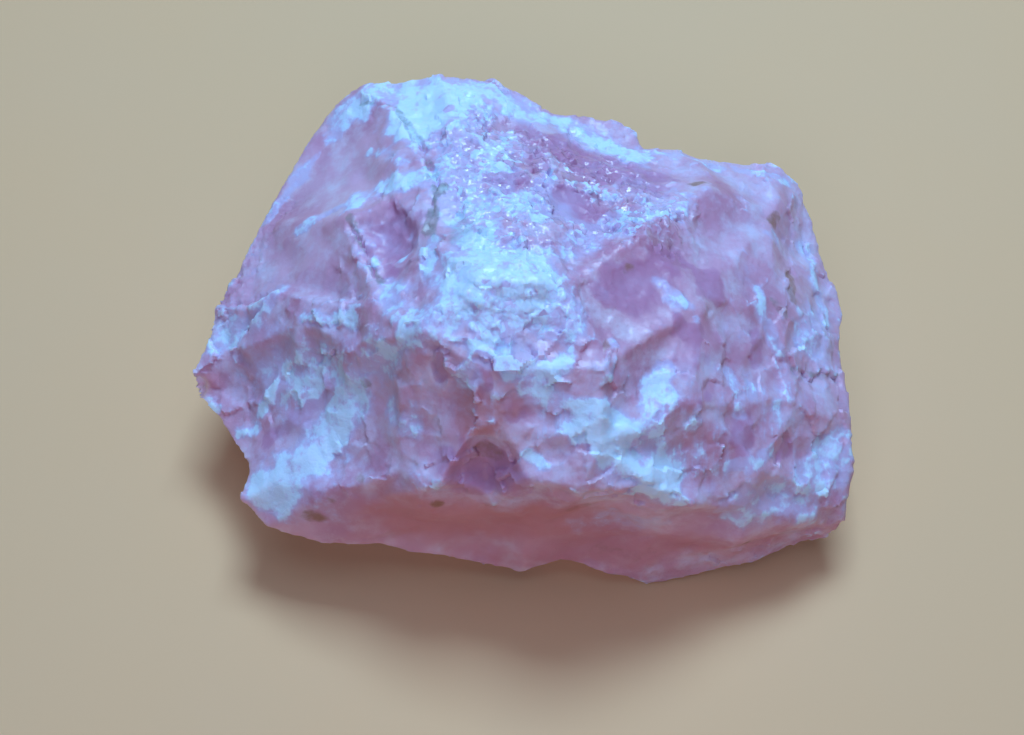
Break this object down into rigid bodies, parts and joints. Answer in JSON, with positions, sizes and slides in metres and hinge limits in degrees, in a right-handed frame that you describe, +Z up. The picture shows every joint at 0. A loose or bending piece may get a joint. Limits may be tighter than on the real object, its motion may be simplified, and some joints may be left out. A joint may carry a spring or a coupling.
{
  "type": "rose quartz chunk",
  "caption": "Hand-sized chunk of rough rose quartz with broken, stepped faces, resting on its flattest fracture as a display stone.",
  "frame": {"origin": "on the resting face, under the middle of the stone's bounding box", "axes": "+X to the right along the longest side, +Y to the back, +Z up"},
  "size_m": [0.085, 0.062, 0.0421],
  "materials": {
    "rose_quartz": "rough broken rose quartz, translucent pink with milky white, sugary patches, waxy to glassy on the fresh fractures"
  },
  "bodies": {
    "root": {"rose_quartz_chunk": "rose_quartz"}
  },
  "joints": []
}
